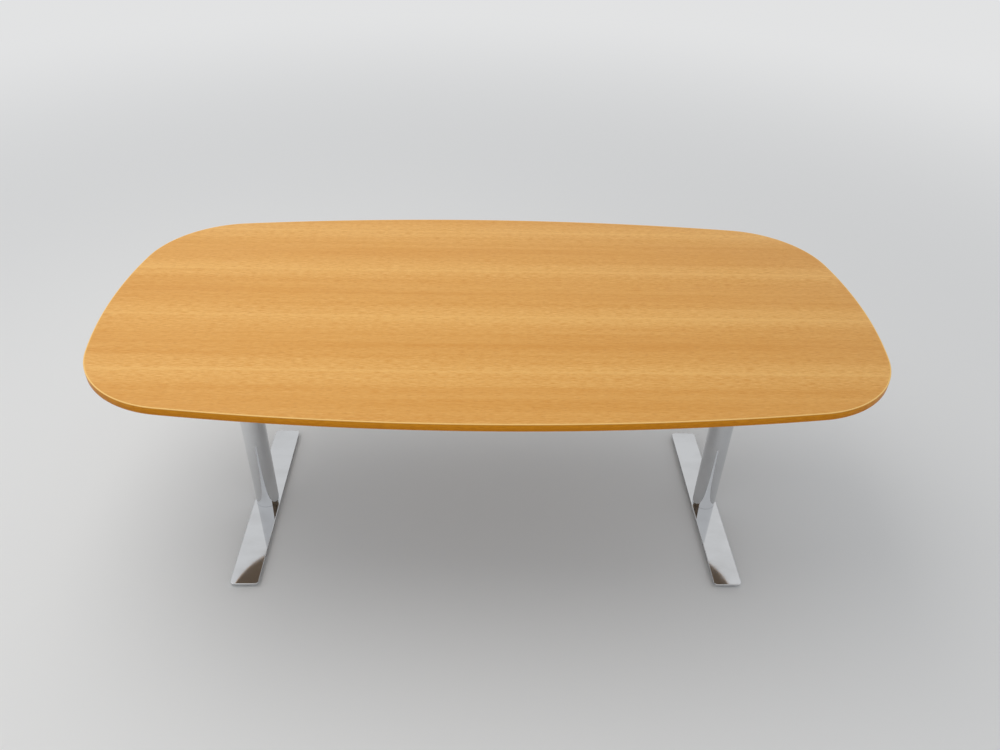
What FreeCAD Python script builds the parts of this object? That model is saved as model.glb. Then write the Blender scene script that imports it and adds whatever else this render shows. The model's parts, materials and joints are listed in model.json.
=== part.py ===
"""Oval meeting table: a veneered board on two chromed T-legs, as a parametric document.

Frame: millimetres, +Z up, origin on the floor under the middle of the top.
X runs along the top, Y across it. Each leg stands at half the leg spacing from the middle.
"""

import FreeCAD
import Part
import Sketcher

import math
import os

# Driving dimensions: name, value in millimetres (counts are plain numbers), what it is.
SIZES = [
    ("top_length", 2000, "overall length of the top"),
    ("top_width", 1000, "overall width of the top"),
    ("table_height", 750, "floor to the face of the top"),
    ("side_radius", 5950, "bow of the long sides"),
    ("end_radius", 1290, "bow of the short ends"),
    ("corner_radius", 266, "rounding between a side and an end"),
    ("core_thickness", 19, "chipboard core"),
    ("veneer_thickness", 0.6, "face veneer and backing veneer"),
    ("lipping_thickness", 3, "solid lipping round the board"),
    ("lipping_round", 1.6, "rounded arris of the lipping"),
    ("leg_spacing", 1390, "between the axes of the columns"),
    ("column_diameter", 70, "outside of the column tube"),
    ("column_wall", 2, "wall of the column tube"),
    ("column_chamfer", 1, "broken edge at the tube ends"),
    ("foot_length", 670, "foot plate, front to back"),
    ("foot_width", 80, "foot plate, side to side"),
    ("foot_thickness", 8, "foot plate"),
    ("foot_corner", 11, "corner radius of the foot plate"),
    ("foot_edge_round", 1.4, "polished edge of the foot plate"),
    ("plug_thickness", 14, "steel plug welded into each end of the column"),
    ("plug_circle", 38, "circle of the screws in a plug"),
    ("foot_screw_diameter", 8, "screws that hold the foot plate"),
    ("foot_screw_head", 15.5, "countersunk head of a foot screw"),
    ("foot_screw_length", 20, "length of a foot screw, head included"),
    ("head_screw_diameter", 6, "screws that hold the support arm"),
    ("head_screw_head", 12, "countersunk head of a head screw"),
    ("head_screw_length", 16, "length of a head screw, head included"),
    ("glide_height", 7, "levelling glide under the foot plate"),
    ("glide_diameter", 30, "foot of the glide"),
    ("glide_shoulder", 22, "top of the glide, against the plate"),
    ("glide_skirt", 3, "straight side of the glide's foot"),
    ("glide_round", 1, "rounded rim of the glide's foot"),
    ("glide_grip", 2.4, "radius of a finger scallop in the rim"),
    ("glide_inset", 36, "glide axis from the end of the plate"),
    ("glide_travel", 4, "how far the glide screws out"),
    ("stud_diameter", 8, "threaded stud of the glide"),
    ("stud_reach", 6, "stud above the glide's shoulder"),
    ("stud_root", 3, "stud moulded into the glide"),
    ("arm_length", 640, "support arm under the top, front to back"),
    ("arm_clearance", 6, "between the column and a flange of the arm"),
    ("arm_height", 32, "flanges of the arm at the column"),
    ("arm_tip_height", 14, "flanges of the arm at its tips"),
    ("arm_level", 220, "stretch of the arm with full flanges"),
    ("arm_wall", 4, "pressed sheet of the arm"),
    ("arm_bend", 5, "outside bend radius of the arm"),
    ("top_screw_diameter", 6, "screws from the arm into the top"),
    ("top_screw_head", 12, "round head of a top screw"),
    ("top_screw_head_height", 3.6, "height of that head"),
    ("top_screw_reach", 11, "how far a top screw goes into its insert"),
    ("top_screw_outer", 290, "outer row of top screws from the middle"),
    ("top_screw_inner", 150, "inner row of top screws from the middle"),
    ("top_screw_offset", 22, "top screw from the arm's centreline"),
    ("nut_insert_diameter", 10, "threaded insert in the core"),
    ("nut_insert_length", 13, "length of that insert"),
    ("nut_insert_spare", 1.4, "hole deeper than the insert"),
    ("beam_width", 50, "stretcher beam, front to back"),
    ("beam_height", 28, "stretcher beam, top to bottom"),
    ("beam_wall", 2, "wall of the beam tube"),
    ("beam_corner", 4, "outside corner radius of the beam tube"),
    ("end_plate_width", 104, "plate welded to each end of the beam"),
    ("end_plate_thickness", 4, "thickness of that plate"),
    ("end_plate_corner", 5, "corner radius of that plate"),
    ("beam_bolt_diameter", 8, "bolts between the end plate and the arm"),
    ("beam_bolt_flats", 13, "across the flats of bolt head and nut"),
    ("beam_bolt_head_height", 5.3, "height of the bolt head"),
    ("beam_nut_height", 6.5, "height of the nut"),
    ("beam_bolt_tail", 2.5, "bolt beyond the nut"),
    ("beam_bolt_spread", 38, "bolt from the beam's centreline"),
    ("hole_clearance", 0.4, "clearance hole wider than its screw, on the radius"),
    ("fit_gap", 0.05, "gap of a close fit, on the radius"),
    ("stud_end_gap", 0.5, "blind hole deeper than the stud"),
    ("overrun", 5, "how far a cut runs past a face"),
    ("plug_screws", 4, "screws in each plug"),
    ("glide_grips", 8, "finger scallops round a glide"),
]

SIDES = {"left": -1, "right": 1}
ENDS = {"front": -1, "back": 1}

document = FreeCAD.newDocument("oval_table")
sheet = document.addObject("Spreadsheet::Sheet", "Sizes")
for row, (alias, number, meaning) in enumerate(SIZES, start=1):
    sheet.set(f"A{row}", meaning)
    sheet.set(f"B{row}", str(number))
    sheet.setAlias(f"B{row}", alias)
document.recompute()

nodes = {}


def size(alias):
    """A driving dimension, read from the sheet."""
    return float(sheet.get(alias))


def cells(text):
    """An expression on plain size names, written for the sheet."""
    words = sorted((alias for alias, _, _ in SIZES), key=len, reverse=True)
    out = text
    for index, word in enumerate(words):
        out = out.replace(word, f"<{index}>")
    for index, word in enumerate(words):
        out = out.replace(f"<{index}>", f"Sizes.{word}")
    return out


def amount(text):
    """The value of an expression on plain size names, without its unit."""
    value = sheet.evalExpression(cells(text))
    return float(getattr(value, "Value", value))


def bind(thing, prop, text):
    """Ties a property to the sheet."""
    thing.setExpression(prop, cells(text))


def keep(thing, label):
    """Makes an object a sub-part that is written out under its label."""
    thing.Label = label
    nodes[label] = thing
    return thing


# Sketch helpers

def new_body(name, x="", y="", z=""):
    """An empty body whose place is tied to the sheet."""
    body = document.addObject("PartDesign::Body", name)
    for letter, text in zip("xyz", (x, y, z)):
        if text:
            bind(body, f"Placement.Base.{letter}", text)
    return body


def new_sketch(body, name, role="XY_Plane", lift=""):
    """A sketch on one of the body's own origin planes, lifted along the plane's normal."""
    plane = next(f for f in body.Origin.OriginFeatures if f.Role == role)
    sketch = body.newObject("Sketcher::SketchObject", name)
    sketch.AttachmentSupport = [(plane, "")]
    sketch.MapMode = "FlatFace"
    if lift:
        bind(sketch, "AttachmentOffset.Base.z", lift)
    return sketch


def measure(sketch, constraint, name, text):
    """Adds a dimension to a sketch and ties it to the sheet."""
    number = sketch.addConstraint(constraint)
    sketch.renameConstraint(number, name)
    bind(sketch, f"Constraints.{name}", text)


def pin_point(sketch, geometry, position, name, x_text, y_text):
    """Holds a point of the sketch at a place given by two expressions."""
    for kind, axis, letter, text in (("DistanceX", -2, "x", x_text), ("DistanceY", -1, "y", y_text)):
        value = amount(text)
        if abs(value) < 1e-9:
            sketch.addConstraint(Sketcher.Constraint("PointOnObject", geometry, position, axis))
        elif value > 0:
            rule = Sketcher.Constraint(kind, -1, 1, geometry, position, value)
            measure(sketch, rule, f"{name}_{letter}", text)
        else:
            rule = Sketcher.Constraint(kind, geometry, position, -1, 1, -value)
            measure(sketch, rule, f"{name}_{letter}", f"-({text})")


def add_polygon(sketch, name, corners):
    """A closed outline of straight lines through corners given as pairs of expressions."""
    points = [FreeCAD.Vector(amount(x), amount(y), 0) for x, y in corners]
    first = sketch.GeometryCount
    for here, there in zip(points, points[1:] + points[:1]):
        sketch.addGeometry(Part.LineSegment(here, there), False)
    for index, (x_text, y_text) in enumerate(corners):
        before = first + (index - 1) % len(corners)
        sketch.addConstraint(Sketcher.Constraint("Coincident", before, 2, first + index, 1))
        pin_point(sketch, first + index, 1, f"{name}{index}", x_text, y_text)


def add_rectangle(sketch, name, x_text, y_text, low="", high=""):
    """A rectangle centred on the vertical axis, and on the other one too unless low and high are given."""
    low = low or f"-({y_text}) / 2"
    high = high or f"({y_text}) / 2"
    left, right = f"-({x_text}) / 2", f"({x_text}) / 2"
    add_polygon(sketch, name, [(left, low), (right, low), (right, high), (left, high)])


def add_circle(sketch, name, diameter, x_text="0", y_text="0"):
    """A circle at a place given by two expressions."""
    centre = FreeCAD.Vector(amount(x_text), amount(y_text), 0)
    circle = Part.Circle(centre, FreeCAD.Vector(0, 0, 1), amount(diameter) / 2)
    geometry = sketch.addGeometry(circle, False)
    rule = Sketcher.Constraint("Diameter", geometry, amount(diameter))
    measure(sketch, rule, f"{name}_diameter", diameter)
    pin_point(sketch, geometry, 3, name, x_text, y_text)


def add_oval(sketch, name, inset="0"):
    """The outline of the top: two bowed sides, two bowed ends and four corner arcs, all tangent.

    Every arc keeps its centre when the outline is drawn in by the inset, so the insets are parallel.
    """
    side, end, corner = (f"({r} - {inset})" for r in ("side_radius", "end_radius", "corner_radius"))
    side_centre = amount("side_radius - top_width / 2")
    end_centre = amount("end_radius - top_length / 2")
    # The corner centre lies one corner radius inside both big circles.
    to_side = amount("side_radius - corner_radius")
    to_end = amount("end_radius - corner_radius")
    apart = math.hypot(side_centre, end_centre)
    along = (to_side**2 - to_end**2 + apart**2) / (2 * apart)
    across = math.sqrt(to_side**2 - along**2)
    # Unit step from the side's centre (0, -side_centre) to the end's centre (-end_centre, 0).
    step_x, step_y = -end_centre / apart, side_centre / apart
    corner_x = along * step_x + across * step_y
    corner_y = -side_centre + along * step_y - across * step_x
    end_angle = math.atan2(corner_y, corner_x + end_centre)
    side_angle = math.atan2(corner_y + side_centre, corner_x)
    half, full = math.pi, 2 * math.pi
    arcs = [
        (-end_centre, 0, end, -end_angle, end_angle),
        (corner_x, corner_y, corner, end_angle, side_angle),
        (0, -side_centre, side, side_angle, half - side_angle),
        (-corner_x, corner_y, corner, half - side_angle, half - end_angle),
        (end_centre, 0, end, half - end_angle, half + end_angle),
        (-corner_x, -corner_y, corner, half + end_angle, half + side_angle),
        (0, side_centre, side, half + side_angle, full - side_angle),
        (corner_x, -corner_y, corner, full - side_angle, full - end_angle),
    ]
    first = sketch.GeometryCount
    for x, y, radius, start, stop in arcs:
        circle = Part.Circle(FreeCAD.Vector(x, y, 0), FreeCAD.Vector(0, 0, 1), amount(radius))
        sketch.addGeometry(Part.ArcOfCircle(circle, start, stop), False)
    for index, (_, _, radius, _, _) in enumerate(arcs):
        after = first + (index + 1) % len(arcs)
        sketch.addConstraint(Sketcher.Constraint("Tangent", first + index, 2, after, 1))
        rule = Sketcher.Constraint("Radius", first + index, amount(radius))
        measure(sketch, rule, f"{name}_radius{index}", radius)
    end_reach, side_reach = "end_radius - top_length / 2", "side_radius - top_width / 2"
    pin_point(sketch, first + 0, 3, f"{name}_end_right", f"-({end_reach})", "0")
    pin_point(sketch, first + 2, 3, f"{name}_side_back", "0", f"-({side_reach})")
    pin_point(sketch, first + 4, 3, f"{name}_end_left", end_reach, "0")
    pin_point(sketch, first + 6, 3, f"{name}_side_front", "0", side_reach)


# Feature helpers

def pad(body, sketch, length, symmetric=False, downward=False):
    """Extrudes a sketch."""
    feature = body.newObject("PartDesign::Pad", f"{sketch.Name}_pad")
    feature.Profile = sketch
    bind(feature, "Length", length)
    feature.SideType = "Symmetric" if symmetric else "One side"
    feature.Reversed = downward
    document.recompute()
    return feature


def pocket(body, sketch, depth="", symmetric=False, upward=False):
    """Cuts a sketch out of the body, to a depth or right through, and checks that it cut something."""
    before = body.Shape.Volume
    feature = body.newObject("PartDesign::Pocket", f"{sketch.Name}_pocket")
    feature.Profile = sketch
    feature.SideType = "Symmetric" if symmetric else "One side"
    feature.Reversed = upward
    if depth:
        bind(feature, "Length", depth)
    else:
        feature.Type = "ThroughAll"
    document.recompute()
    if not body.Shape.Volume < before:
        raise RuntimeError(f"{feature.Name} cuts nothing")
    return feature


def turn(body, sketch):
    """Turns a half profile about the sketch's vertical axis."""
    feature = body.newObject("PartDesign::Revolution", f"{sketch.Name}_turned")
    feature.Profile = sketch
    feature.ReferenceAxis = (sketch, ["V_Axis"])
    document.recompute()
    return feature


def edges_where(feature, test):
    """Names of the feature's edges that pass a test."""
    return [f"Edge{i}" for i, edge in enumerate(feature.Shape.Edges, start=1) if test(edge)]


def dress(body, kind, feature, test, prop, text):
    """A fillet or chamfer on the edges that pass a test."""
    names = edges_where(feature, test)
    if not names:
        raise RuntimeError(f"no edge of {feature.Name} for {kind}")
    trim = body.newObject(f"PartDesign::{kind}", f"{feature.Name}_{kind.lower()}")
    trim.Base = (feature, names)
    bind(trim, prop, text)
    document.recompute()
    return trim


def at_height(edge, z):
    """True for an edge that lies in the level z."""
    box = edge.BoundBox
    return abs(box.ZMin - z) < 1e-4 and abs(box.ZMax - z) < 1e-4


def is_round(edge, diameter):
    """True for a full or partial circle of that diameter."""
    return isinstance(edge.Curve, Part.Circle) and abs(2 * edge.Curve.Radius - diameter) < 1e-4


def runs_along(edge, axis):
    """True for a straight edge along an axis, given as its number."""
    if not isinstance(edge.Curve, Part.Line):
        return False
    return abs(abs(edge.Curve.Direction[axis]) - 1) < 1e-6


def ring_places(circle, count):
    """Expressions for places evenly round a circle, the first half a step off the X axis."""
    total = int(size(count))
    step = 360 / total
    angles = [step / 2 + step * index for index in range(total)]
    return [(f"{circle} / 2 * cos({a} deg)", f"{circle} / 2 * sin({a} deg)") for a in angles]


def group(label, prototype, places):
    """Separate copies of one piece, each at its own placement, as one sub-part."""
    document.recompute()
    copies = []
    for placement in places:
        shape = prototype.Shape.copy()
        shape.Placement = placement.multiply(shape.Placement)
        copies.append(shape)
    feature = document.addObject("Part::Feature", label)
    feature.Shape = Part.makeCompound(copies)
    return keep(feature, label)


def moved(x, y, z, rotation=FreeCAD.Rotation()):
    """A placement at a point."""
    return FreeCAD.Placement(FreeCAD.Vector(x, y, z), rotation)


# Levels of the assembly, as expressions on the sizes.
FOOT_BOTTOM = "glide_height"
FOOT_TOP = "glide_height + foot_thickness"
BOARD_THICKNESS = "core_thickness + 2 * veneer_thickness"
BOARD_BOTTOM = f"table_height - ({BOARD_THICKNESS})"
ARM_UNDERSIDE = f"{BOARD_BOTTOM} - arm_wall"
COLUMN_LENGTH = f"{ARM_UNDERSIDE} - ({FOOT_TOP})"
COLUMN_BORE = "column_diameter - 2 * column_wall"
ARM_CHANNEL = "column_diameter + 2 * arm_clearance"
ARM_WIDTH = f"({ARM_CHANNEL} + 2 * arm_wall)"
BEAM_END = f"leg_spacing / 2 - {ARM_WIDTH} / 2 - end_plate_thickness"
BOLT_LEVEL = f"{BOARD_BOTTOM} - beam_height / 2"
PLUG_PLACES = ring_places("plug_circle", "plug_screws")


def leg_x(side):
    """Expression for the X of a leg."""
    return f"{SIDES[side]} * leg_spacing / 2"


def top_screw_places():
    """Places of the top screws on one arm, from the arm's middle."""
    return [
        (f"{across} * top_screw_offset", f"{along} * {reach}")
        for reach in ("top_screw_outer", "top_screw_inner")
        for along in ENDS.values()
        for across in SIDES.values()
    ]


# The board

def insert_holes(sketch, clearance):
    """Round holes for the threaded inserts under both arms."""
    for side in SIDES:
        for index, (x, y) in enumerate(top_screw_places()):
            place = f"{leg_x(side)} + {x}"
            add_circle(sketch, f"{side}{index}", f"nut_insert_diameter + 2 * {clearance}", place, y)


def board_layer(label, bottom, thickness):
    """One layer of the board inside the lipping."""
    body = new_body(label, z=bottom)
    outline = new_sketch(body, f"{label}_outline")
    add_oval(outline, "oval", "lipping_thickness")
    pad(body, outline, thickness)
    return keep(body, label)


def make_board():
    """Core, face veneer, backing veneer and the solid lipping round them."""
    backing = board_layer("backing_veneer", BOARD_BOTTOM, "veneer_thickness")
    holes = new_sketch(backing, "backing_holes")
    insert_holes(holes, "fit_gap")
    pocket(backing, holes, upward=True)

    core = board_layer("top_core", f"{BOARD_BOTTOM} + veneer_thickness", "core_thickness")
    holes = new_sketch(core, "core_holes")
    insert_holes(holes, "fit_gap")
    pocket(core, holes, "nut_insert_length + nut_insert_spare - veneer_thickness", upward=True)

    board_layer("top_veneer", "table_height - veneer_thickness", "veneer_thickness")

    lipping = new_body("edge_lipping", z=BOARD_BOTTOM)
    outline = new_sketch(lipping, "lipping_outline")
    add_oval(outline, "outer")
    add_oval(outline, "inner", "lipping_thickness")
    band = pad(lipping, outline, BOARD_THICKNESS)
    half_length = size("top_length") / 2
    outer_radii = [2 * size(r) for r in ("side_radius", "end_radius", "corner_radius")]
    levels = (0, amount(BOARD_THICKNESS))

    def outer_arris(edge):
        level = any(at_height(edge, z) for z in levels)
        return level and any(is_round(edge, diameter) for diameter in outer_radii)

    dress(lipping, "Fillet", band, outer_arris, "Radius", "lipping_round")
    reach = lipping.Shape.optimalBoundingBox(True, False).XMax
    if abs(reach - half_length) > 1e-3:
        raise RuntimeError("the lipping does not reach the length of the top")
    keep(lipping, "edge_lipping")


# The legs

def make_foot_plate(side):
    """Flat chromed bar with rounded corners, screwed up into the column and carried on two glides."""
    label = f"foot_plate_{side}"
    body = new_body(label, x=leg_x(side), z=FOOT_BOTTOM)
    outline = new_sketch(body, f"{label}_outline")
    add_rectangle(outline, "bar", "foot_width", "foot_length")
    bar = pad(body, outline, "foot_thickness")
    bar = dress(body, "Fillet", bar, lambda e: runs_along(e, 2), "Radius", "foot_corner")
    levels = (0, size("foot_thickness"))
    dress(body, "Fillet", bar, lambda e: any(at_height(e, z) for z in levels), "Radius", "foot_edge_round")

    sockets = new_sketch(body, f"{label}_glide_sockets")
    for end, sign in ENDS.items():
        place = f"{sign} * (foot_length / 2 - glide_inset)"
        add_circle(sockets, end, "stud_diameter + 2 * fit_gap", "0", place)
    pocket(body, sockets, "stud_reach + stud_end_gap", upward=True)

    holes = new_sketch(body, f"{label}_screw_holes")
    for index, (x, y) in enumerate(PLUG_PLACES):
        add_circle(holes, f"hole{index}", "foot_screw_diameter + 2 * fit_gap", x, y)
    drilled = pocket(body, holes, upward=True)
    diameter = amount("foot_screw_diameter + 2 * fit_gap")
    mouth = lambda e: at_height(e, 0) and is_round(e, diameter) and is_screw_hole(e)
    dress(body, "Chamfer", drilled, mouth, "Size", "(foot_screw_head - foot_screw_diameter) / 2")
    return keep(body, label)


def is_screw_hole(edge):
    """True for a circle on the screw circle of a plug."""
    centre = edge.Curve.Center
    return abs(math.hypot(centre.x, centre.y) - size("plug_circle") / 2) < 1e-3


def make_column(side):
    """Chromed tube between the foot plate and the support arm."""
    label = f"column_{side}"
    body = new_body(label, x=leg_x(side), z=FOOT_TOP)
    section = new_sketch(body, f"{label}_section")
    add_circle(section, "outside", "column_diameter")
    add_circle(section, "inside", COLUMN_BORE)
    tube = pad(body, section, COLUMN_LENGTH)
    diameter = size("column_diameter")
    dress(body, "Chamfer", tube, lambda e: is_round(e, diameter), "Size", "column_chamfer")
    return keep(body, label)


def make_plug(label, side, level, screw_diameter):
    """Turned steel plug welded into an end of the column, tapped for the screws."""
    body = new_body(label, x=leg_x(side), z=level)
    section = new_sketch(body, f"{label}_section")
    add_circle(section, "rim", f"{COLUMN_BORE} - 2 * fit_gap")
    for index, (x, y) in enumerate(PLUG_PLACES):
        add_circle(section, f"hole{index}", f"{screw_diameter} + 2 * fit_gap", x, y)
    pad(body, section, "plug_thickness")
    return keep(body, label)


def countersunk_screw(name, diameter, head, length):
    """Countersunk screw standing on its head, the head's face at z = 0."""
    body = new_body(name)
    profile = new_sketch(body, f"{name}_profile", "XZ_Plane")
    shank, rim, cone = f"{diameter} / 2", f"{head} / 2", f"({head} - {diameter}) / 2"
    corners = [("0", "0"), (rim, "0"), (shank, cone), (shank, length), ("0", length)]
    add_polygon(profile, "corner", corners)
    turn(body, profile)
    return body


def make_leg_screws():
    """Screws up through each foot plate, and down through each arm, into the plugs."""
    upside_down = FreeCAD.Rotation(FreeCAD.Vector(1, 0, 0), 180)
    upright = FreeCAD.Rotation()
    kinds = [
        ("foot", FOOT_BOTTOM, upright),
        ("head", BOARD_BOTTOM, upside_down),
    ]
    for kind, level, rotation in kinds:
        sizes = [f"{kind}_screw_{part}" for part in ("diameter", "head", "length")]
        screw = countersunk_screw(f"{kind}_screw", *sizes)
        places = [
            moved(amount(f"{leg_x(side)} + {x}"), amount(y), amount(level), rotation)
            for side in SIDES
            for x, y in PLUG_PLACES
        ]
        group(f"{kind}_screws", screw, places)


def make_glide(side, end):
    """Levelling glide: a moulded foot with finger scallops on a threaded stud."""
    x, y = leg_x(side), f"{ENDS[end]} * (foot_length / 2 - glide_inset)"
    label = f"glide_foot_{end}_{side}"
    foot = new_body(label, x=x, y=y)
    profile = new_sketch(foot, f"{label}_profile", "XZ_Plane")
    bore, rim, shoulder = "stud_diameter / 2", "glide_diameter / 2", "glide_shoulder / 2"
    socket_floor = "glide_height - stud_root"
    corners = [
        ("0", "0"), (f"{rim} - glide_round", "0"), (rim, "glide_round"), (rim, "glide_skirt"),
        (shoulder, "glide_height"), (bore, "glide_height"), (bore, socket_floor), ("0", socket_floor),
    ]
    add_polygon(profile, "corner", corners)
    turn(foot, profile)
    scallops = new_sketch(foot, f"{label}_scallops", lift="glide_round")
    reach = "(glide_diameter + 2 * glide_grip)"
    total = int(size("glide_grips"))
    for index in range(total):
        angle = 360 / total * index
        place = [f"({reach} - glide_grip) / 2 * {turn_of}({angle} deg)" for turn_of in ("cos", "sin")]
        add_circle(scallops, f"grip{index}", "2 * glide_grip", *place)
    pocket(foot, scallops, "glide_height", upward=True)
    keep(foot, label)

    label = f"glide_stud_{end}_{side}"
    stud = new_body(label, x=x, y=y, z=socket_floor)
    section = new_sketch(stud, f"{label}_section")
    add_circle(section, "rod", "stud_diameter")
    pad(stud, section, "stud_root + stud_reach")
    keep(stud, label)


# The underframe

def make_arm(side):
    """Pressed channel under the top: web against the board, flanges down, tapering to both tips."""
    label = f"support_arm_{side}"
    body = new_body(label, x=leg_x(side), z=BOARD_BOTTOM)
    profile = new_sketch(body, f"{label}_profile", "YZ_Plane")
    tip, level = "arm_length / 2", "arm_level / 2"
    corners = [
        (f"-{tip}", "0"), (f"-{tip}", "-arm_tip_height"), (f"-{level}", "-arm_height"),
        (level, "-arm_height"), (tip, "-arm_tip_height"), (tip, "0"),
    ]
    add_polygon(profile, "corner", corners)
    block = pad(body, profile, ARM_WIDTH, symmetric=True)
    bends = lambda e: runs_along(e, 1) and at_height(e, 0)
    dress(body, "Fillet", block, bends, "Radius", "arm_bend")

    hollow = new_sketch(body, f"{label}_hollow", lift="-arm_wall")
    add_rectangle(hollow, "channel", ARM_CHANNEL, "arm_length + 2 * overrun")
    pocket(body, hollow)

    head_holes = new_sketch(body, f"{label}_head_holes")
    for index, (x, y) in enumerate(PLUG_PLACES):
        add_circle(head_holes, f"hole{index}", "head_screw_diameter + 2 * fit_gap", x, y)
    drilled = pocket(body, head_holes)
    diameter = amount("head_screw_diameter + 2 * fit_gap")
    mouth = lambda e: at_height(e, 0) and is_round(e, diameter)
    dress(body, "Chamfer", drilled, mouth, "Size", "(head_screw_head - head_screw_diameter) / 2")

    top_holes = new_sketch(body, f"{label}_top_holes")
    for index, (x, y) in enumerate(top_screw_places()):
        add_circle(top_holes, f"hole{index}", "top_screw_diameter + 2 * hole_clearance", x, y)
    pocket(body, top_holes)

    bolt_holes = new_sketch(body, f"{label}_bolt_holes", "YZ_Plane")
    for end, sign in ENDS.items():
        place = f"{sign} * beam_bolt_spread"
        add_circle(bolt_holes, end, "beam_bolt_diameter + 2 * hole_clearance", place, "-beam_height / 2")
    pocket(body, bolt_holes, f"{ARM_WIDTH} + 2 * overrun", symmetric=True)
    return keep(body, label)


def make_beam():
    """Rectangular steel tube between the arms, with a plate welded to each end."""
    body = new_body("stretcher_beam", z=f"{BOARD_BOTTOM} - beam_height / 2")
    section = new_sketch(body, "beam_section", "YZ_Plane")
    add_rectangle(section, "outside", "beam_width", "beam_height")
    add_rectangle(section, "inside", "beam_width - 2 * beam_wall", "beam_height - 2 * beam_wall")
    tube = pad(body, section, f"2 * ({BEAM_END})", symmetric=True)
    outer = amount("beam_width / 2")
    outer_edges = lambda e: runs_along(e, 0) and abs(abs(e.CenterOfMass.y) - outer) < 1e-4
    tube = dress(body, "Fillet", tube, outer_edges, "Radius", "beam_corner")
    inner = amount("beam_width / 2 - beam_wall")
    inner_edges = lambda e: runs_along(e, 0) and abs(abs(e.CenterOfMass.y) - inner) < 1e-4
    dress(body, "Fillet", tube, inner_edges, "Radius", "beam_corner - beam_wall")
    keep(body, "stretcher_beam")

    for side, sign in SIDES.items():
        label = f"beam_end_plate_{side}"
        middle = f"{sign} * (({BEAM_END}) + end_plate_thickness / 2)"
        plate = new_body(label, x=middle, z=f"{BOARD_BOTTOM} - beam_height / 2")
        outline = new_sketch(plate, f"{label}_outline", "YZ_Plane")
        add_rectangle(outline, "plate", "end_plate_width", "beam_height")
        for end, direction in ENDS.items():
            place = f"{direction} * beam_bolt_spread"
            add_circle(outline, end, "beam_bolt_diameter + 2 * hole_clearance", place, "0")
        blank = pad(plate, outline, "end_plate_thickness", symmetric=True)
        dress(plate, "Fillet", blank, lambda e: runs_along(e, 0), "Radius", "end_plate_corner")
        keep(plate, label)


def hexagon(name, height):
    """A hexagonal block across the bolt's flats, standing on z = 0."""
    block = document.addObject("Part::Prism", name)
    block.Polygon = 6
    bind(block, "Circumradius", "beam_bolt_flats / sqrt(3)")
    bind(block, "Height", height)
    return block


def rod(name, diameter, length):
    """A plain round rod standing on z = 0."""
    cylinder = document.addObject("Part::Cylinder", name)
    bind(cylinder, "Radius", f"({diameter}) / 2")
    bind(cylinder, "Height", length)
    return cylinder


def make_beam_fasteners():
    """Hexagon bolts through the end plates and the arms' inner flanges, with nuts inside the channel."""
    bolt = document.addObject("Part::MultiFuse", "beam_bolt")
    grip = "end_plate_thickness + arm_wall + beam_nut_height + beam_bolt_tail"
    shank = rod("beam_bolt_shank", "beam_bolt_diameter", f"beam_bolt_head_height + {grip}")
    bolt.Shapes = [hexagon("beam_bolt_head", "beam_bolt_head_height"), shank]
    nut = document.addObject("Part::Cut", "beam_nut")
    nut.Base = hexagon("beam_nut_block", "beam_nut_height")
    nut.Tool = rod("beam_nut_bore", "beam_bolt_diameter + 2 * fit_gap", "beam_nut_height")
    level = amount(BOLT_LEVEL)
    for label, piece, start in (
        ("beam_bolts", bolt, f"{BEAM_END} - beam_bolt_head_height"),
        ("beam_nuts", nut, f"{BEAM_END} + end_plate_thickness + arm_wall"),
    ):
        places = []
        for sign in SIDES.values():
            outward = FreeCAD.Rotation(FreeCAD.Vector(0, 1, 0), sign * 90)
            for direction in ENDS.values():
                spread = direction * size("beam_bolt_spread")
                places.append(moved(sign * amount(start), spread, level, outward))
        group(label, piece, places)


def make_top_fasteners():
    """Threaded inserts in the board, and the round-headed screws that pull the arms up to it."""
    insert = new_body("nut_insert")
    section = new_sketch(insert, "nut_insert_section")
    add_circle(section, "outside", "nut_insert_diameter")
    add_circle(section, "bore", "top_screw_diameter + 2 * fit_gap")
    pad(insert, section, "nut_insert_length")

    screw = new_body("top_screw")
    profile = new_sketch(screw, "top_screw_profile", "XZ_Plane")
    shank, rim, crown = "top_screw_diameter / 2", "top_screw_head / 2", "top_screw_head_height / 2"
    end = "arm_wall + top_screw_reach"
    corners = [
        ("0", "-top_screw_head_height"), (f"{rim} - {crown}", "-top_screw_head_height"),
        (rim, f"-{crown}"), (rim, "0"), (shank, "0"), (shank, end), ("0", end),
    ]
    add_polygon(profile, "corner", corners)
    turn(screw, profile)

    for label, piece, level in (
        ("threaded_inserts", insert, BOARD_BOTTOM),
        ("top_screws", screw, ARM_UNDERSIDE),
    ):
        places = [
            moved(amount(f"{leg_x(side)} + {x}"), amount(y), amount(level))
            for side in SIDES
            for x, y in top_screw_places()
        ]
        group(label, piece, places)


# Assembly

make_board()
for leg_side in SIDES:
    make_foot_plate(leg_side)
    make_column(leg_side)
    make_plug(f"column_foot_plug_{leg_side}", leg_side, FOOT_TOP, "foot_screw_diameter")
    head_level = f"{ARM_UNDERSIDE} - plug_thickness"
    make_plug(f"column_head_plug_{leg_side}", leg_side, head_level, "head_screw_diameter")
    make_arm(leg_side)
    for foot_end in ENDS:
        make_glide(leg_side, foot_end)
make_leg_screws()
make_beam()
make_beam_fasteners()
make_top_fasteners()
document.recompute()

for thing in document.Objects:
    if any(state in ("Invalid", "Error") for state in thing.State):
        raise RuntimeError(f"{thing.Name} failed: {thing.State}")
for label, thing in nodes.items():
    if thing.Shape.isNull() or not thing.Shape.isValid() or not thing.Shape.Solids:
        raise RuntimeError(f"{label} has no valid solid")

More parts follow.
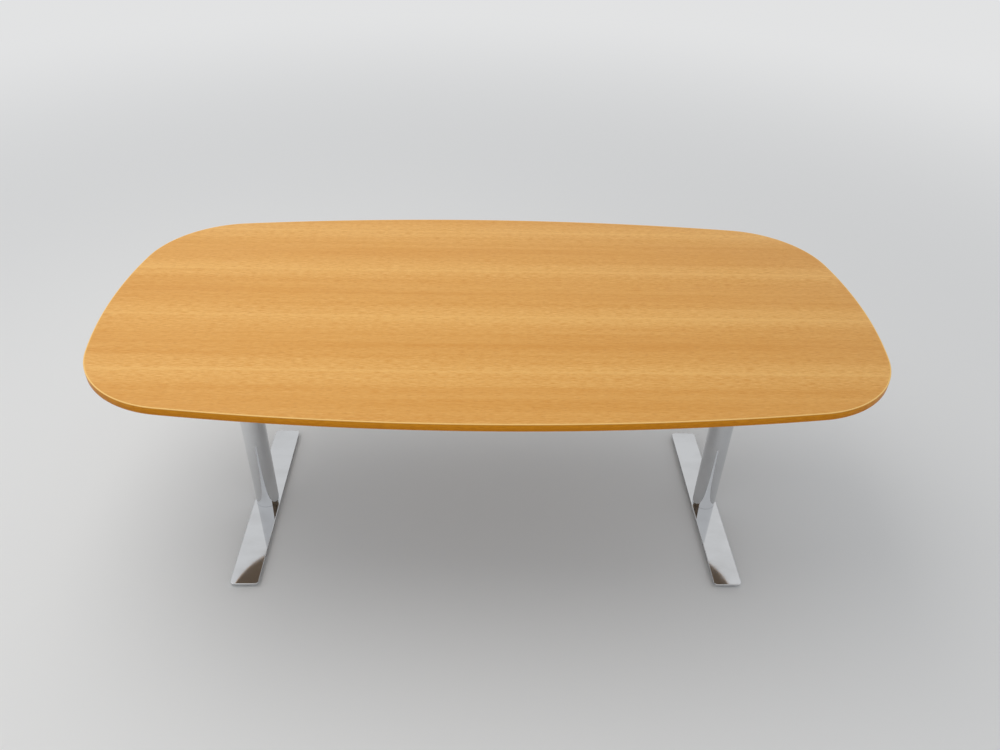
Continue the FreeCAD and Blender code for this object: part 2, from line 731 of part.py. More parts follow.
os.makedirs("parts", exist_ok=True)
for label, thing in nodes.items():
    thing.Shape.exportStep(f"parts/{label}.step")
    box = thing.Shape.optimalBoundingBox(True, False)
    print(
        f"{label}: {len(thing.Shape.Solids)} solids, {thing.Shape.Volume / 1000:.1f} cm3, "
        f"x {box.XMin:.1f}..{box.XMax:.1f} y {box.YMin:.1f}..{box.YMax:.1f} z {box.ZMin:.2f}..{box.ZMax:.2f}"
    )
print(f"{len(nodes)} sub-parts written")
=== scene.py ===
# %% [markdown]
# # A veneered meeting table on chromed legs
# The imported construction is loaded first. It gives every piece its place. Nothing of it is
# moved here: this lesson adds finishes, finer meshes for the pieces whose reflections and edges
# are looked at closely, light and a camera.

import json
import math

import bmesh
import bpy
from mathutils import Matrix, Vector


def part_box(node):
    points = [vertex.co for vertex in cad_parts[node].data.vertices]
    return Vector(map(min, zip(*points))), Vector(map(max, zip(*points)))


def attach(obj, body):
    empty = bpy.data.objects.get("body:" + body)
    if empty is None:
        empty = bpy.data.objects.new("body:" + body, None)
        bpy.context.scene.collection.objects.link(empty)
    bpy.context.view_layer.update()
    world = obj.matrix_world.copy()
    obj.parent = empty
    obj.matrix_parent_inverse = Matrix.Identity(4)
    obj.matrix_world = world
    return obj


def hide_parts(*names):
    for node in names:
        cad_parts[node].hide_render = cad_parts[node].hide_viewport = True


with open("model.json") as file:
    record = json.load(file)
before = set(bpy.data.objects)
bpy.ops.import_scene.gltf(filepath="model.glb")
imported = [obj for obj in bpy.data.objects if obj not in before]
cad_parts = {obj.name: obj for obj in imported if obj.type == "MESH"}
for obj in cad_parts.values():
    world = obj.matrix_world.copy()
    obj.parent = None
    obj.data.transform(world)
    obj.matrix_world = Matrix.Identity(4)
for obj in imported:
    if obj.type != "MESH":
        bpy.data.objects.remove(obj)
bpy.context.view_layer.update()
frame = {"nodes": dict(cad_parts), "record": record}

# %% [markdown]
# Sizes come from the construction where it has them. A box gives the lowest and the highest
# corner of a piece, in metres. What a box can't tell, such as how thick the lipping is and how
# far its arrises are rounded, is named with the value that the construction uses.

# %% Measure the board and the legs
lipping_low, lipping_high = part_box("edge_lipping")
veneer_low, veneer_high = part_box("top_veneer")
leg_low, leg_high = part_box("column_right")
MILLIMETRE = 0.001
LIPPING = 3.0 * MILLIMETRE
ARRIS = 1.6 * MILLIMETRE
BOARD_BOTTOM, BOARD_TOP = lipping_low[2], lipping_high[2]
VENEER = veneer_high[2] - veneer_low[2]
LEG_X = (leg_low[0] + leg_high[0]) / 2
SIDES = {"left": -1, "right": 1}
ENDS = {"front": -1, "back": 1}
print("board", round(BOARD_TOP - BOARD_BOTTOM, 4), "thick, face at", round(BOARD_TOP, 4))
print("legs at", round(LEG_X, 4), "to either side")

# %% [markdown]
# Small helpers keep every node tree short. The first places a node and fills its sockets: a
# socket given as a value links, anything else becomes that socket's setting. The others name
# what is done most: a sum, a stretched pattern, a cloud of noise, a change of range and a mix
# of two colours.

# %% Node helpers
def place(tree, kind, sockets=None, **settings):
    made = tree.nodes.new(kind)
    for name, value in settings.items():
        setattr(made, name, value)
    for key, value in (sockets or {}).items():
        if isinstance(value, bpy.types.NodeSocket):
            tree.links.new(value, made.inputs[key])
        else:
            made.inputs[key].default_value = value
    return made


def calculate(tree, operation, *values):
    return place(tree, "ShaderNodeMath", dict(enumerate(values)), operation=operation).outputs[0]


def stretch(tree, vector, scale):
    return place(tree, "ShaderNodeMapping", {"Vector": vector, "Scale": scale}).outputs[0]


def cloud(tree, vector, detail=2.0, roughness=0.5, scale=1.0):
    sockets = {"Vector": vector, "Scale": scale, "Detail": detail, "Roughness": roughness}
    return place(tree, "ShaderNodeTexNoise", sockets).outputs[0]


def rescale(tree, value, low, high, to_low=0.0, to_high=1.0):
    sockets = {"Value": value, "From Min": low, "From Max": high, "To Min": to_low, "To Max": to_high}
    return place(tree, "ShaderNodeMapRange", sockets).outputs[0]


def blend_colour(tree, factor, first, second):
    sockets = {0: factor, 6: first, 7: second}
    return place(tree, "ShaderNodeMix", sockets, data_type="RGBA").outputs[2]


# %% [markdown]
# A node group is how an effect is shared between finishes. One helper starts a group with named
# inputs and outputs, the other links the results to those outputs.

# %% Group helpers
KINDS = {"value": "NodeSocketFloat", "colour": "NodeSocketColor", "vector": "NodeSocketVector"}


def new_group(name, inputs, outputs):
    tree = bpy.data.node_groups.new(name, "ShaderNodeTree")
    for label, (kind, default) in inputs.items():
        socket = tree.interface.new_socket(label, in_out="INPUT", socket_type=KINDS[kind])
        if default is not None:
            socket.default_value = default
    for label, kind in outputs.items():
        tree.interface.new_socket(label, in_out="OUTPUT", socket_type=KINDS[kind])
    source = tree.nodes.new("NodeGroupInput")
    print("group", name, "takes", list(inputs), "and gives", list(outputs))
    return tree, source.outputs, tree.nodes.new("NodeGroupOutput")


def give(tree, target, **results):
    for label, socket in results.items():
        tree.links.new(socket, target.inputs[label.title()])


# %% [markdown]
# Oak veneer is cut in leaves from one log and laid side by side, every second one turned over
# like the page of a book. The tone therefore swells and fades across the board, lightest where
# two leaves meet. A cosine across the grain gives that rhythm. A brick or wave texture could
# too, but a cosine can be bent by a slow cloud, so the joints don't look ruled. Waves are counted
# in a metre: first along the grain, which is the first axis of the vector, then across it.

# %% Oak figure: rhythm of the leaves
BEND_WAVES = (1.1, 6.0, 6.0)
BEND_REACH = 6.0 * MILLIMETRE


def lay_leaves(tree, given):
    straight = place(tree, "ShaderNodeSeparateXYZ", {"Vector": given["Vector"]}).outputs["Y"]
    bend = cloud(tree, stretch(tree, given["Vector"], BEND_WAVES))
    across = calculate(tree, "MULTIPLY_ADD", bend, BEND_REACH, straight)
    past_start = calculate(tree, "SUBTRACT", across, given["Leaf Start"])
    turns = calculate(tree, "DIVIDE", past_start, given["Leaf Width"])
    swell = calculate(tree, "COSINE", calculate(tree, "MULTIPLY", turns, math.tau))
    return calculate(tree, "MULTIPLY_ADD", swell, 0.5, 0.5)


# %% [markdown]
# On top of the rhythm lie long streaks, fine fibres and flecks: clouds that are stretched along
# the grain. A cloud wavers about one half, and waver turns that into a tone that goes as far down
# as up. The flecks are strongest near the joints, where the grain of a leaf is most open. All
# tones are added up, and the sum says how light the wood is.

# %% Oak figure: tones of the grain
STREAK_WAVES = (0.8, 34.0, 34.0)
FLECK_WAVES = (46.0, 560.0, 560.0)
JOINT_SHARPNESS = 260.0
PALE_START, PALE_END = 0.52, 0.94
MIDDLE_TONE = 0.26
LEAF_TONE, PALE_TONE, JOINT_TONE = 0.18, 0.20, 0.36
STREAK_SPREAD, STREAK_TONE = 0.20, 0.22
FIBRE_SPREAD, FIBRE_TONE = 0.25, 0.26
FLECK_SPREAD, FLECK_TONE = 0.16, 0.36
CLOSED_GRAIN = 0.55


def waver(tree, value, spread, tone):
    return rescale(tree, value, 0.5 - spread, 0.5 + spread, -tone, tone)


def grain_tone(tree, vector, leaf, fibre):
    streak = cloud(tree, stretch(tree, vector, STREAK_WAVES), detail=5.0, roughness=0.62)
    fleck = cloud(tree, stretch(tree, vector, FLECK_WAVES), roughness=0.6)
    joint = calculate(tree, "POWER", leaf, JOINT_SHARPNESS)
    open_grain = calculate(tree, "ADD", leaf, CLOSED_GRAIN)
    tones = [
        calculate(tree, "MULTIPLY", leaf, LEAF_TONE),
        rescale(tree, leaf, PALE_START, PALE_END, 0.0, PALE_TONE),
        calculate(tree, "MULTIPLY", joint, JOINT_TONE),
        waver(tree, streak, STREAK_SPREAD, STREAK_TONE),
        waver(tree, fibre, FIBRE_SPREAD, FIBRE_TONE),
        calculate(tree, "MULTIPLY", waver(tree, fleck, FLECK_SPREAD, FLECK_TONE), open_grain),
    ]
    total = MIDDLE_TONE
    for tone in tones:
        total = calculate(tree, "ADD", total, tone)
    return total


# %% [markdown]
# The short dark pores of oak are one more stretched cloud, of which only the peaks count. They
# are laid over the wood in a darker colour and sunk below the fibres. The group's inputs let each
# veneer have its own colours and its own width of leaf.

# %% Group: oak figure
FIBRE_WAVES = (14.0, 520.0, 520.0)
PORE_WAVES = (60.0, 900.0, 900.0)
PORE_START, PORE_END = 0.54, 0.72
FIBRE_HEIGHT = 0.3


def make_oak_figure():
    inputs = {
        "Vector": ("vector", None),
        "Light": ("colour", (0.8, 0.5, 0.2, 1.0)),
        "Dark": ("colour", (0.6, 0.3, 0.1, 1.0)),
        "Pore Colour": ("colour", (0.3, 0.12, 0.03, 1.0)),
        "Leaf Width": ("value", 0.2),
        "Leaf Start": ("value", 0.0),
        "Pore Depth": ("value", 0.5),
    }
    outputs = {"Color": "colour", "Height": "value", "Pores": "value"}
    tree, given, result = new_group("oak_figure", inputs, outputs)
    vector = given["Vector"]
    fibre = cloud(tree, stretch(tree, vector, FIBRE_WAVES), detail=3.0, roughness=0.6)
    dashes = cloud(tree, stretch(tree, vector, PORE_WAVES), roughness=0.6)
    tone = grain_tone(tree, vector, lay_leaves(tree, given), fibre)
    wood = blend_colour(tree, tone, given["Dark"], given["Light"])
    pores = rescale(tree, dashes, PORE_START, PORE_END)
    pores_shown = calculate(tree, "MULTIPLY", pores, given["Pore Depth"])
    colour = blend_colour(tree, pores_shown, wood, given["Pore Colour"])
    height = calculate(tree, "SUBTRACT", calculate(tree, "MULTIPLY", fibre, FIBRE_HEIGHT), pores)
    give(tree, result, color=colour, height=height, pores=pores)
    return tree


oak_figure = make_oak_figure()

# %% [markdown]
# Two more shared effects. Handling marks are the faint smears that a cloth and hands leave on a
# polished or lacquered face: they hardly change the colour, only how sharply it reflects.
# Speckle is the fine bumpy skin of powder coat and moulded plastic. Each range says which part of
# a cloud is used, so that marks come out as separate patches.

# %% Groups: handling marks and speckle
SMEAR_WAVES, SMEAR_RANGE = (5.0, 9.0, 5.0), (0.4, 0.75)
SCRATCH_WAVES, SCRATCH_RANGE = (900.0, 14.0, 60.0), (0.6, 0.8)
MOTTLE_WAVES, SKIN_RANGE = 22.0, (0.3, 0.7)


def make_handling_marks():
    inputs = {"Vector": ("vector", None), "Size": ("value", 1.0)}
    tree, given, result = new_group("handling_marks", inputs, {"Smear": "value", "Scratch": "value"})
    sockets = {0: given["Vector"], "Scale": given["Size"]}
    sized = place(tree, "ShaderNodeVectorMath", sockets, operation="SCALE").outputs[0]
    wide = cloud(tree, stretch(tree, sized, SMEAR_WAVES), detail=4.0, roughness=0.55)
    thin = cloud(tree, stretch(tree, sized, SCRATCH_WAVES), roughness=0.6)
    smear, scratch = rescale(tree, wide, *SMEAR_RANGE), rescale(tree, thin, *SCRATCH_RANGE)
    give(tree, result, smear=smear, scratch=scratch)
    return tree


def make_speckle():
    inputs = {"Vector": ("vector", None), "Grain": ("value", 900.0)}
    tree, given, result = new_group("speckle", inputs, {"Height": "value", "Mottle": "value"})
    fine = cloud(tree, given["Vector"], roughness=0.6, scale=given["Grain"])
    coarse = cloud(tree, given["Vector"], detail=3.0, scale=MOTTLE_WAVES)
    give(tree, result, height=fine, mottle=rescale(tree, coarse, *SKIN_RANGE))
    return tree


handling_marks = make_handling_marks()
speckle = make_speckle()

# %% [markdown]
# Rubbed edges compare the surface's direction with the same direction rounded off a little: they
# differ only near an edge, which is where a finish wears first. A cloud breaks the wear up,
# because an even line of it would look painted on.

# %% Group: rubbed edges
EDGE_RANGE = (0.995, 0.85)
WEAR_WAVES, WEAR_RANGE = 60.0, (0.4, 0.65)


def make_rubbed_edges():
    inputs = {"Vector": ("vector", None), "Reach": ("value", 0.001)}
    tree, given, result = new_group("rubbed_edges", inputs, {"Mask": "value"})
    rounded = place(tree, "ShaderNodeBevel", {"Radius": given["Reach"]}, samples=4).outputs[0]
    flat = place(tree, "ShaderNodeNewGeometry").outputs["Normal"]
    both = place(tree, "ShaderNodeVectorMath", {0: rounded, 1: flat}, operation="DOT_PRODUCT")
    near = rescale(tree, both.outputs["Value"], *EDGE_RANGE)
    worn = cloud(tree, given["Vector"], detail=4.0, roughness=0.6, scale=WEAR_WAVES)
    give(tree, result, mask=calculate(tree, "MULTIPLY", near, rescale(tree, worn, *WEAR_RANGE)))
    return tree


rubbed_edges = make_rubbed_edges()

# %% [markdown]
# A finish is a material with one Principled shader. The groups feed its colour, roughness and
# bump. What is the same all over, such as the metal or the lacquer coat, is set on the shader
# itself. The patterns read Object coordinates, so they keep their real size on every piece.

# %% Finish helpers
def new_finish(name, **constants):
    material = bpy.data.materials.new(name)
    material.use_nodes = True
    tree = material.node_tree
    shader = tree.nodes["Principled BSDF"]
    for label, value in constants.items():
        shader.inputs[label.replace("_", " ")].default_value = value
    where = place(tree, "ShaderNodeTexCoord").outputs
    return material, tree, shader, where


def use_group(tree, group, **sockets):
    named = {label.replace("_", " "): value for label, value in sockets.items()}
    return place(tree, "ShaderNodeGroup", named, node_tree=group).outputs


def feed(tree, shader, **sockets):
    for label, socket in sockets.items():
        tree.links.new(socket, shader.inputs[label.replace("_", " ")])


def between(tree, share, low, high):
    return rescale(tree, share, 0.0, 1.0, low, high)


def emboss(tree, shader, height, strength, depth):
    sockets = {"Height": height, "Strength": strength, "Distance": depth}
    feed(tree, shader, Normal=place(tree, "ShaderNodeBump", sockets).outputs[0])


# %% [markdown]
# The face of the table: honey oak under a satin lacquer. The lacquer fills the pores almost to
# the brim, so they show as colour more than as bump.

# %% Finish: lacquered oak face
LEAF_WIDTH = 0.240
LEAF_START = -0.063
PORE_ROUGHNESS = 0.08


def make_oak_face():
    lacquer = {"Coat_Weight": 0.10, "Coat_Roughness": 0.30, "Specular_IOR_Level": 0.25}
    material, tree, shader, where = new_finish("oak_face", **lacquer)
    oak = use_group(
        tree, oak_figure, Vector=where["Object"], Leaf_Width=LEAF_WIDTH, Leaf_Start=LEAF_START,
        Light=(0.84, 0.470, 0.133, 1), Dark=(0.67, 0.300, 0.049, 1),
        Pore_Colour=(0.44, 0.17, 0.025, 1), Pore_Depth=0.5,
    )
    marks = use_group(tree, handling_marks, Vector=where["Object"], Size=1.0)
    sheen = between(tree, marks["Smear"], low=0.40, high=0.47)
    rough = calculate(tree, "MULTIPLY_ADD", oak["Pores"], PORE_ROUGHNESS, sheen)
    feed(tree, shader, Base_Color=oak["Color"], Roughness=rough)
    emboss(tree, shader, oak["Height"], strength=0.12, depth=0.15 * MILLIMETRE)
    return material


oak_face = make_oak_face()
print("finish", oak_face.name)

# %% [markdown]
# The lipping is a strip of solid oak bent round the board, more orange than the veneer, with its
# grain along the edge. It reads the strip's own UV map, where one unit is a metre of edge. A
# painted highlight lies along the upper arris in a lighter oak colour, and a fainter one along the
# lower arris: the height on the strip tells where.

# %% Finish: oak lipping
# Painted highlight: a lighter oak colour laid along the upper arris, and fainter along the lower one.
ARRIS_HIGHLIGHT_OAK = (0.92, 0.59, 0.21, 1)
UPPER_RANGE = (BOARD_TOP - 1.2 * ARRIS, BOARD_TOP - 0.3 * ARRIS)
LOWER_RANGE = (BOARD_BOTTOM + 1.1 * ARRIS, BOARD_BOTTOM + 0.2 * ARRIS)
LOWER_HIGHLIGHT_SHARE = 0.35


def make_oak_edge():
    material, tree, shader, where = new_finish("oak_edge", Specular_IOR_Level=0.1)
    oak = use_group(
        tree, oak_figure, Vector=where["UV"], Leaf_Width=0.031, Leaf_Start=0.004,
        Light=(0.74, 0.29, 0.012, 1), Dark=(0.56, 0.195, 0.003, 1),
        Pore_Colour=(0.36, 0.11, 0.004, 1), Pore_Depth=0.5,
    )
    height = place(tree, "ShaderNodeSeparateXYZ", {"Vector": where["Object"]}).outputs["Z"]
    upper = rescale(tree, height, *UPPER_RANGE)
    lower = rescale(tree, height, *LOWER_RANGE, 0.0, LOWER_HIGHLIGHT_SHARE)
    # The painted highlight is full on the upper arris and a share of it on the lower arris.
    arris_highlight = calculate(tree, "MAXIMUM", upper, lower)
    marks = use_group(tree, handling_marks, Vector=where["Object"], Size=2.0)
    colour = blend_colour(tree, arris_highlight, oak["Color"], ARRIS_HIGHLIGHT_OAK)
    feed(tree, shader, Base_Color=colour, Roughness=between(tree, marks["Smear"], low=0.36, high=0.46))
    emboss(tree, shader, oak["Height"], strength=0.15, depth=0.15 * MILLIMETRE)
    return material


oak_edge = make_oak_edge()
print("finish", oak_edge.name)

# %% [markdown]
# Underneath, a cheaper veneer balances the board: plainer, greyer and only sealed. The
# core between the two is chipboard, pressed from chips of many tones.

# %% Finishes: backing veneer and chipboard
CHIP_SQUASH = (1, 1, 3)
CHIP_WAVES = 260.0


def make_oak_back():
    material, tree, shader, where = new_finish("oak_back", Specular_IOR_Level=0.3)
    oak = use_group(
        tree, oak_figure, Vector=where["Object"], Leaf_Width=0.31, Leaf_Start=0.09,
        Light=(0.29, 0.212, 0.145, 1), Dark=(0.19, 0.132, 0.086, 1),
        Pore_Colour=(0.12, 0.080, 0.050, 1), Pore_Depth=0.7,
    )
    rough = between(tree, oak["Pores"], low=0.55, high=0.75)
    feed(tree, shader, Base_Color=oak["Color"], Roughness=rough)
    emboss(tree, shader, oak["Height"], strength=0.3, depth=0.2 * MILLIMETRE)
    return material


def make_chipboard():
    material, tree, shader, where = new_finish("pressed_chips", Specular_IOR_Level=0.2)
    sockets = {"Vector": stretch(tree, where["Object"], CHIP_SQUASH), "Scale": CHIP_WAVES}
    chips = place(tree, "ShaderNodeTexVoronoi", sockets).outputs
    tone = place(tree, "ShaderNodeSeparateColor", {"Color": chips["Color"]}).outputs[0]
    dark_chip, pale_chip = (0.30, 0.19, 0.09, 1), (0.62, 0.46, 0.27, 1)
    colour = blend_colour(tree, tone, dark_chip, pale_chip)
    feed(tree, shader, Base_Color=colour, Roughness=between(tree, tone, low=0.8, high=0.95))
    emboss(tree, shader, chips["Distance"], strength=0.4, depth=0.3 * MILLIMETRE)
    return material


oak_back = make_oak_back()
chipboard = make_chipboard()
print("finishes", oak_back.name, chipboard.name)

# %% [markdown]
# Chrome plate is a mirror with a cool tint. A perfect mirror looks computed, so faint smears
# make it a little less sharp in places, and very fine polishing lines run along it.

# %% Finish: chrome plate
SCRATCH_ROUGHNESS = 0.03


def make_chrome():
    material, tree, shader, where = new_finish("chrome_plate", Metallic=1.0)
    marks = use_group(tree, handling_marks, Vector=where["Object"], Size=1.6)
    clean, smeared = (0.70, 0.71, 0.725, 1), (0.63, 0.635, 0.645, 1)
    colour = blend_colour(tree, marks["Smear"], clean, smeared)
    sheen = between(tree, marks["Smear"], low=0.025, high=0.075)
    rough = calculate(tree, "MULTIPLY_ADD", marks["Scratch"], SCRATCH_ROUGHNESS, sheen)
    feed(tree, shader, Base_Color=colour, Roughness=rough)
    emboss(tree, shader, marks["Scratch"], strength=0.02, depth=0.02 * MILLIMETRE)
    return material


chrome_plate = make_chrome()
print("finish", chrome_plate.name)

# %% [markdown]
# The underframe is powder-coated in black: a fine dry texture, rubbed to grey on sharp edges.
# The glides are moulded black plastic, a little darker and smoother, which scuffs on its rim.

# %% Finishes: powder coat and glide plastic
def skin_roughness(tree, skin, low, high):
    return rescale(tree, skin["Height"], *SKIN_RANGE, low, high)


def make_powder_coat():
    dark, light, rubbed = (0.028, 0.028, 0.031, 1), (0.042, 0.042, 0.045, 1), (0.16, 0.16, 0.165, 1)
    material, tree, shader, where = new_finish("powder_coat", Specular_IOR_Level=0.45)
    skin = use_group(tree, speckle, Vector=where["Object"], Grain=1100.0)
    rub = use_group(tree, rubbed_edges, Vector=where["Object"], Reach=0.8 * MILLIMETRE)
    paint = blend_colour(tree, skin["Mottle"], dark, light)
    rough = skin_roughness(tree, skin, low=0.46, high=0.62)
    feed(tree, shader, Base_Color=blend_colour(tree, rub["Mask"], paint, rubbed), Roughness=rough)
    emboss(tree, shader, skin["Height"], strength=0.35, depth=0.25 * MILLIMETRE)
    return material


def make_glide_plastic():
    dark, light, scuffed = (0.018, 0.018, 0.019, 1), (0.03, 0.03, 0.031, 1), (0.11, 0.11, 0.11, 1)
    material, tree, shader, where = new_finish("glide_plastic", Specular_IOR_Level=0.4)
    skin = use_group(tree, speckle, Vector=where["Object"], Grain=1500.0)
    rub = use_group(tree, rubbed_edges, Vector=where["Object"], Reach=0.6 * MILLIMETRE)
    plain = blend_colour(tree, skin["Mottle"], dark, light)
    rough = skin_roughness(tree, skin, low=0.42, high=0.58)
    feed(tree, shader, Base_Color=blend_colour(tree, rub["Mask"], plain, scuffed), Roughness=rough)
    emboss(tree, shader, skin["Height"], strength=0.25, depth=0.12 * MILLIMETRE)
    return material


powder_coat = make_powder_coat()
glide_plastic = make_glide_plastic()
print("finishes", powder_coat.name, glide_plastic.name)

# %% [markdown]
# Screws and bolts are zinc plated, with the milky and slightly blue cast of that plating. The
# inserts are plain brass, hidden in the board once the table is together.

# %% Finishes: zinc and brass
def make_zinc():
    blue, milky = (0.56, 0.58, 0.62, 1), (0.66, 0.66, 0.65, 1)
    material, tree, shader, where = new_finish("zinc_plate", Metallic=1.0)
    skin = use_group(tree, speckle, Vector=where["Object"], Grain=1600.0)
    rough = skin_roughness(tree, skin, low=0.28, high=0.42)
    feed(tree, shader, Base_Color=blend_colour(tree, skin["Mottle"], blue, milky), Roughness=rough)
    emboss(tree, shader, skin["Height"], strength=0.15, depth=0.05 * MILLIMETRE)
    return material


def make_brass():
    deep, bright = (0.70, 0.52, 0.22, 1), (0.78, 0.61, 0.30, 1)
    material, tree, shader, where = new_finish("brass_insert", Metallic=1.0)
    skin = use_group(tree, speckle, Vector=where["Object"], Grain=1300.0)
    rough = skin_roughness(tree, skin, low=0.25, high=0.4)
    feed(tree, shader, Base_Color=blend_colour(tree, skin["Mottle"], deep, bright), Roughness=rough)
    return material


zinc_plate = make_zinc()
brass_insert = make_brass()
print("finishes", zinc_plate.name, brass_insert.name)

# %% [markdown]
# Every piece of the construction belongs to a finish slot. Giving each slot its finish here
# dresses all pieces at once, also those that finer meshes replace further on.

# %% Dress the construction
FINISHES = {
    "oak_veneer": oak_face,
    "oak_lipping": oak_edge,
    "backing_veneer": oak_back,
    "chipboard": chipboard,
    "chrome": chrome_plate,
    "underframe": powder_coat,
    "fasteners": zinc_plate,
    "insert": brass_insert,
    "glide": glide_plastic,
}
slot_of = {part["node"]: part["material_slot"] for part in frame["record"]["subparts"]}
for name, node in frame["nodes"].items():
    node.data.materials.clear()
    node.data.materials.append(FINISHES[slot_of[name]])
print("dressed", len(frame["nodes"]), "pieces in", len(FINISHES), "finishes")

# %% [markdown]
# A new piece is a mesh that takes over from one or more pieces of the construction. It stays at
# the origin with its place in its vertices, rides on the same body and names the slot whose
# finish it has. Smooth shading is kept off the edges that are really sharp.

# %% Piece helper
def finish_piece(name, bm, slot_name, body, replaced, sharp_degrees=30.0):
    mesh = bpy.data.meshes.new(name)
    bm.to_mesh(mesh)
    bm.free()
    mesh.materials.append(FINISHES[slot_name])
    mesh.shade_smooth()
    mesh.set_sharp_from_angle(angle=math.radians(sharp_degrees))
    piece = bpy.data.objects.new(name, mesh)
    bpy.context.collection.objects.link(piece)
    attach(piece, body)
    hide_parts(*replaced)
    print("piece", name, len(mesh.polygons), "faces, for", ", ".join(replaced))


# %% [markdown]
# The outline of the top is eight arcs that flow into each other: two flat bows along the sides,
# two rounder ones at the ends and four corners. A box can't tell their radii, so they have the
# construction's values. Where two arcs flow into each other, the line through their centres also
# goes through the point where they meet. That gives the distances of a corner's centre from the
# centres of the two bows beside it, and two distances are enough to find it.

# %% Find the arcs of the outline
HALF_LENGTH, HALF_WIDTH = 1.000, 0.500
SIDE_BOW, END_BOW, CORNER_BOW = 5.950, 1.290, 0.266
side_centre = SIDE_BOW - HALF_WIDTH
end_centre = END_BOW - HALF_LENGTH
apart = math.hypot(side_centre, end_centre)
to_side, to_end = SIDE_BOW - CORNER_BOW, END_BOW - CORNER_BOW
along = (to_side**2 - to_end**2 + apart**2) / (2 * apart)
across = math.sqrt(to_side**2 - along**2)
corner_x = (across * side_centre - along * end_centre) / apart
corner_y = -side_centre + (along * side_centre + across * end_centre) / apart
end_angle = math.atan2(corner_y, corner_x + end_centre)
side_angle = math.atan2(corner_y + side_centre, corner_x)
corner_turn = side_angle - end_angle
print("corner centre", round(corner_x, 4), round(corner_y, 4))
print("corner turn", round(math.degrees(corner_turn), 2), "degrees")

# %% [markdown]
# The construction's own mesh has few points on these arcs, and close up its edge would look
# faceted. Here a section of the edge is swept round afresh: it is spun about the eight centres in
# turn, each spin starting where the last one stopped. A rigid section stays square to the edge
# all the way, which a curve's bevel or a loop that is only scaled inwards would not do. The sweep
# starts in the middle of the back, so that bow is spun in two halves. Where the end meets the
# start, points that are closer than a weld become one.

# %% Sweep a section with a chain of spins
SIDE_STEPS, CORNER_STEPS, END_STEPS = 40, 32, 32
WELD = 0.01 * MILLIMETRE
# Each spin: its centre, its radius, the angle where it starts, how far it turns, its steps
OUTLINE = [
    ((0, -side_centre), SIDE_BOW, math.pi / 2, math.pi / 2 - side_angle, SIDE_STEPS),
    ((-corner_x, corner_y), CORNER_BOW, math.pi - side_angle, corner_turn, CORNER_STEPS),
    ((end_centre, 0), END_BOW, math.pi - end_angle, 2 * end_angle, END_STEPS),
    ((-corner_x, -corner_y), CORNER_BOW, math.pi + end_angle, corner_turn, CORNER_STEPS),
    ((0, side_centre), SIDE_BOW, math.pi + side_angle, math.pi - 2 * side_angle, 2 * SIDE_STEPS),
    ((corner_x, -corner_y), CORNER_BOW, math.tau - side_angle, corner_turn, CORNER_STEPS),
    ((-end_centre, 0), END_BOW, math.tau - end_angle, 2 * end_angle, END_STEPS),
    ((corner_x, corner_y), CORNER_BOW, math.tau + end_angle, corner_turn, CORNER_STEPS),
    ((0, -side_centre), SIDE_BOW, math.tau + side_angle, math.pi / 2 - side_angle, SIDE_STEPS),
]


def sweep_round(bm):
    moving = bm.verts[:] + bm.edges[:]
    for (x, y), _, _, turn, steps in OUTLINE:
        spun = bmesh.ops.spin(bm, geom=moving, cent=(x, y, 0), axis=(0, 0, 1), angle=turn, steps=steps)
        moving = spun["geom_last"]
    bmesh.ops.remove_doubles(bm, verts=bm.verts, dist=WELD)


edge_length = sum(radius * turn for _, radius, _, turn, _ in OUTLINE)
print("outline", len(OUTLINE), "spins,", round(edge_length, 3), "m round")

# %% [markdown]
# The lipping starts as its own section, a narrow rectangle at the middle of the back. A bevel of
# its two outer corners rounds the arrises, as a router does on the real strip, and the sweep
# takes it round the board. Unrolling gives it a UV map: the distance round the board and the
# height, both in metres.

# %% Piece: oak lipping
ARRIS_STEPS = 6
ANGLE_SLACK = 1e-6


def make_lipping():
    bm = bmesh.new()
    inner, outer = HALF_WIDTH - LIPPING, HALF_WIDTH
    places = [(inner, BOARD_BOTTOM), (outer, BOARD_BOTTOM), (outer, BOARD_TOP), (inner, BOARD_TOP)]
    corners = [bm.verts.new((0, y, z)) for y, z in places]
    bm.faces.new(corners)
    bmesh.ops.bevel(
        bm, geom=corners[1:3], offset=ARRIS, offset_type="OFFSET", affect="VERTICES",
        segments=ARRIS_STEPS, profile=0.5, material=-1,
    )
    bmesh.ops.delete(bm, geom=bm.faces[:], context="FACES_ONLY")
    sweep_round(bm)
    bmesh.ops.recalc_face_normals(bm, faces=bm.faces)
    return bm


def distance_round(x, y):
    passed = 0
    for (centre_x, centre_y), radius, start, turn, _ in OUTLINE:
        angle = (math.atan2(y - centre_y, x - centre_x) - start + ANGLE_SLACK) % math.tau
        reach = math.hypot(x - centre_x, y - centre_y)
        if angle <= turn + 2 * ANGLE_SLACK and abs(reach - radius) < 2 * LIPPING:
            return passed + radius * angle
        passed += radius * turn
    return passed


def unroll(bm):
    layer = bm.loops.layers.uv.new("edge")
    for face in bm.faces:
        runs = [distance_round(*loop.vert.co.xy) for loop in face.loops]
        for loop, run in zip(face.loops, runs):
            wrapped = run + edge_length if max(runs) - run > edge_length / 2 else run
            loop[layer].uv = (wrapped, loop.vert.co.z)


lipping_mesh = make_lipping()
unroll(lipping_mesh)
finish_piece("oak_lipping", lipping_mesh, "oak_lipping", "table", ["edge_lipping"])

# %% [markdown]
# The two veneers are thin slices inside the lipping. Their section is a single upright edge.
# Swept round, it becomes a low wall, and a flat face closes each of its two rims.

# %% Pieces: face veneer and backing veneer
def make_slice(low, high):
    bm = bmesh.new()
    upright = [bm.verts.new((0, HALF_WIDTH - LIPPING, z)) for z in (low, high)]
    bm.edges.new(upright)
    sweep_round(bm)
    bmesh.ops.holes_fill(bm, edges=[edge for edge in bm.edges if edge.is_boundary], sides=0)
    bmesh.ops.recalc_face_normals(bm, faces=bm.faces)
    return bm


